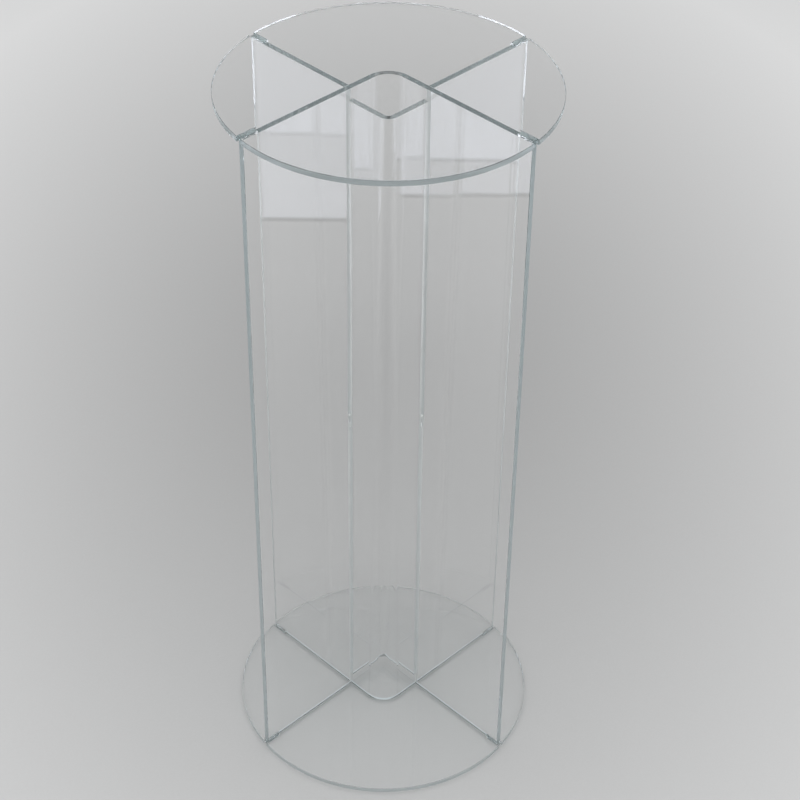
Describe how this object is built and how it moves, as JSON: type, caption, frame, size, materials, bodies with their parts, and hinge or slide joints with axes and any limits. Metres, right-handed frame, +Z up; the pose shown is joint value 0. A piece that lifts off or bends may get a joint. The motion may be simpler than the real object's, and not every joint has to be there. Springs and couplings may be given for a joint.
{
  "type": "bag holder",
  "caption": "Tall clear stand of two round plates joined by two bent, crossing panels that form open bays for bags.",
  "frame": {"origin": "centre of the base plate's underside, on the surface the stand rests on", "axes": "+Z up along the stand's axis, -Y to the front bay, where the front panel's bend faces, +X to the right seen from the front"},
  "size_m": [0.1778, 0.1778, 0.4318],
  "materials": {
    "clear_plate": "clear acrylic, polished rim",
    "clear_panel": "clear acrylic, heat-bent, cut edges"
  },
  "bodies": {
    "root": {"base_disc": "clear_plate", "top_disc": "clear_plate", "front_panel": "clear_panel", "rear_panel": "clear_panel"}
  },
  "joints": []
}
